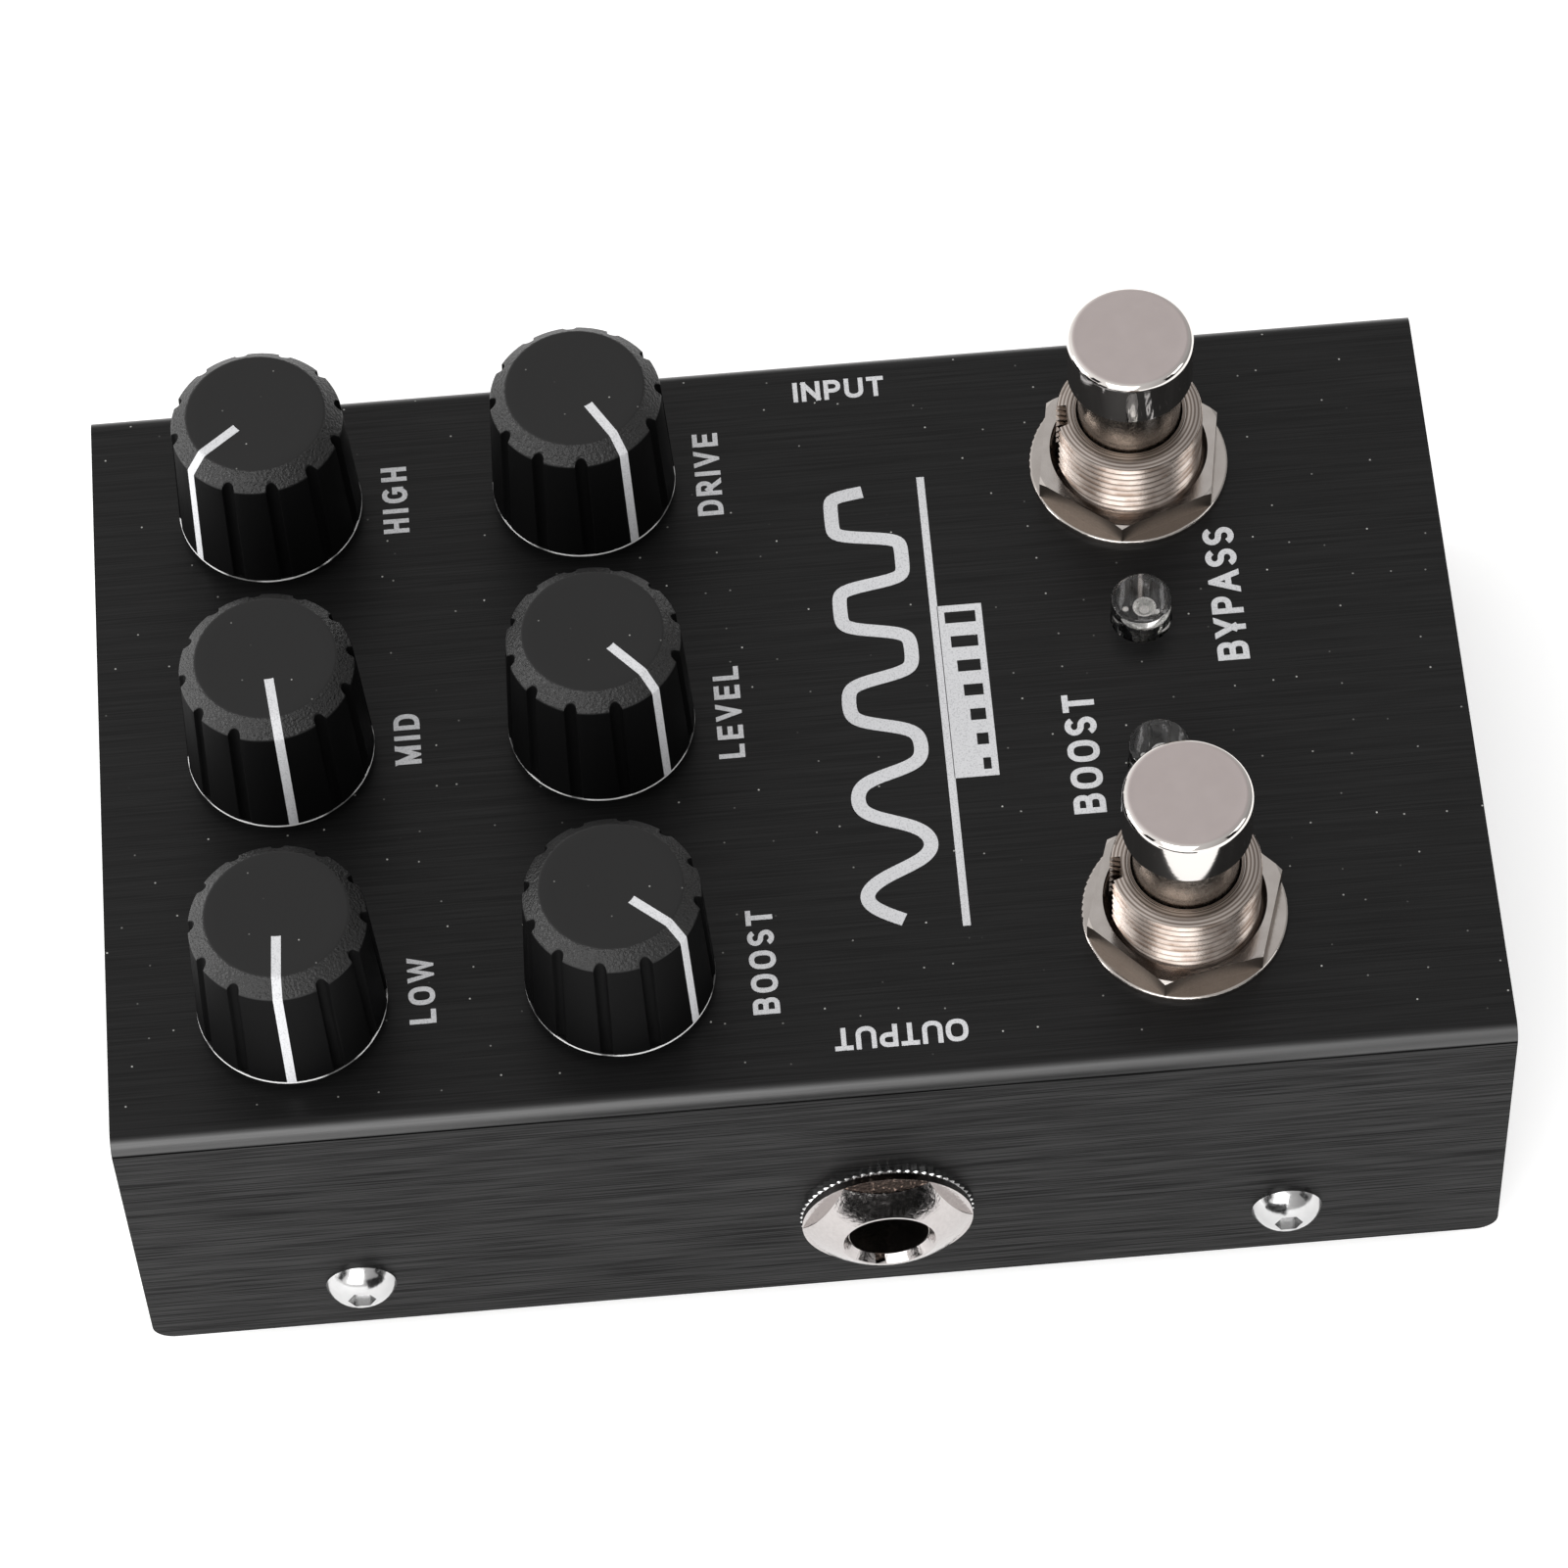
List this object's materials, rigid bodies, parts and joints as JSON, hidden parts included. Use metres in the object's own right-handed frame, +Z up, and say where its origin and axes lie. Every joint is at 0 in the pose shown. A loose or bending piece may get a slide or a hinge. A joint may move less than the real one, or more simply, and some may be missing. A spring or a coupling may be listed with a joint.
{
  "type": "guitar effects pedal",
  "caption": "Compact floor effects pedal: folded black metal case, two rows of turning knobs, round footswitches, indicator lamps, side jacks and a rear power inlet.",
  "frame": {"origin": "on the surface the pedal stands on, under the middle of the case", "axes": "+Z up; +Y away from the player, towards the knobs; +X towards the input jack"},
  "size_m": [0.0754, 0.1096, 0.0513],
  "materials": {
    "case_finish": "black anodised over brushed aluminium, satin",
    "knob_plastic": "matte black moulded plastic",
    "white_print": "white screen print and painted pointer lines",
    "nickel_plate": "bright nickel plate",
    "screw_steel": "plain stainless steel",
    "foot_rubber": "matte black rubber",
    "lamp_clear": "clear moulded epoxy, polished",
    "tinned_metal": "tinned metal",
    "black_moulding": "black moulded plastic",
    "pot_shell": "dark blue moulded plastic",
    "zinc_plate": "zinc-plated steel",
    "board_green": "green solder mask on glass laminate",
    "cable_grey": "grey cable sleeve",
    "wire_red": "red wire sleeve"
  },
  "bodies": {
    "case": {"amplifier_chips": "black_moulding", "base_tray": "case_finish", "capacitors": "black_moulding", "case_screws": "screw_steel", "clinch_nuts": "zinc_plate", "jack_body_input": "black_moulding", "jack_body_output": "black_moulding", "jack_bushes": "nickel_plate", "jack_contacts": "tinned_metal", "jack_nuts": "nickel_plate", "jack_washers": "nickel_plate", "jack_wires": "wire_red", "lamp_boost": "lamp_clear", "lamp_bypass": "lamp_clear", "lamp_leads": "tinned_metal", "main_board": "board_green", "pot_bushes": "zinc_plate", "pot_housing_boost": "pot_shell", "pot_housing_drive": "pot_shell", "pot_housing_high": "pot_shell", "pot_housing_level": "pot_shell", "pot_housing_low": "pot_shell", "pot_housing_mid": "pot_shell", "pot_nuts": "zinc_plate", "pot_pins": "tinned_metal", "pot_washers": "zinc_plate", "power_inlet_body": "black_moulding", "power_inlet_contacts": "tinned_metal", "ribbon_cable": "cable_grey", "ribbon_plugs": "black_moulding", "rubber_feet": "foot_rubber", "switch_board": "board_green", "switch_body_boost": "black_moulding", "switch_body_bypass": "black_moulding", "switch_bush_boost": "nickel_plate", "switch_bush_bypass": "nickel_plate", "switch_inner_nuts": "nickel_plate", "switch_lock_washers": "nickel_plate", "switch_lugs": "tinned_metal", "switch_nuts": "nickel_plate", "switch_spring_boost": "screw_steel", "switch_spring_bypass": "screw_steel", "switch_washers": "nickel_plate", "top_cover": "case_finish"},
    "high_control": {"knob_high": "knob_plastic", "pot_shaft_high": "screw_steel"},
    "mid_control": {"knob_mid": "knob_plastic", "pot_shaft_mid": "screw_steel"},
    "low_control": {"knob_low": "knob_plastic", "pot_shaft_low": "screw_steel"},
    "drive_control": {"knob_drive": "knob_plastic", "pot_shaft_drive": "screw_steel"},
    "level_control": {"knob_level": "knob_plastic", "pot_shaft_level": "screw_steel"},
    "boost_control": {"knob_boost": "knob_plastic", "pot_shaft_boost": "screw_steel"},
    "bypass_button": {"switch_cap_bypass": "nickel_plate", "switch_plunger_bypass": "nickel_plate"},
    "boost_button": {"switch_cap_boost": "nickel_plate", "switch_plunger_boost": "nickel_plate"}
  },
  "joints": [
    {"name": "high_turn", "type": "hinge", "parent": "case", "child": "high_control", "pos_m": [0.0235, 0.0401, 0.0347], "axis": [0, 0, -1], "range_deg": [-111.5, 188.5]},
    {"name": "mid_turn", "type": "hinge", "parent": "case", "child": "mid_control", "pos_m": [0, 0.0401, 0.0347], "axis": [0, 0, -1], "range_deg": [-54, 246]},
    {"name": "low_turn", "type": "hinge", "parent": "case", "child": "low_control", "pos_m": [-0.0235, 0.0401, 0.0347], "axis": [0, 0, -1], "range_deg": [-62, 238]},
    {"name": "drive_turn", "type": "hinge", "parent": "case", "child": "drive_control", "pos_m": [0.0235, 0.0144, 0.0347], "axis": [0, 0, -1], "range_deg": [-29.5, 270.5]},
    {"name": "level_turn", "type": "hinge", "parent": "case", "child": "level_control", "pos_m": [0, 0.0144, 0.0347], "axis": [0, 0, -1], "range_deg": [-18.5, 281.5]},
    {"name": "boost_turn", "type": "hinge", "parent": "case", "child": "boost_control", "pos_m": [-0.0235, 0.0144, 0.0347], "axis": [0, 0, -1], "range_deg": [-11, 289]},
    {"name": "bypass_press", "type": "slide", "parent": "case", "child": "bypass_button", "axis": [0, 0, -1], "range_m": [0, 0.003], "stiffness_N_per_m": 2500, "springref_m": -0.002, "deforming": ["switch_spring_bypass"]},
    {"name": "boost_press", "type": "slide", "parent": "case", "child": "boost_button", "axis": [0, 0, -1], "range_m": [0, 0.003], "stiffness_N_per_m": 2500, "springref_m": -0.002, "deforming": ["switch_spring_boost"]}
  ]
}
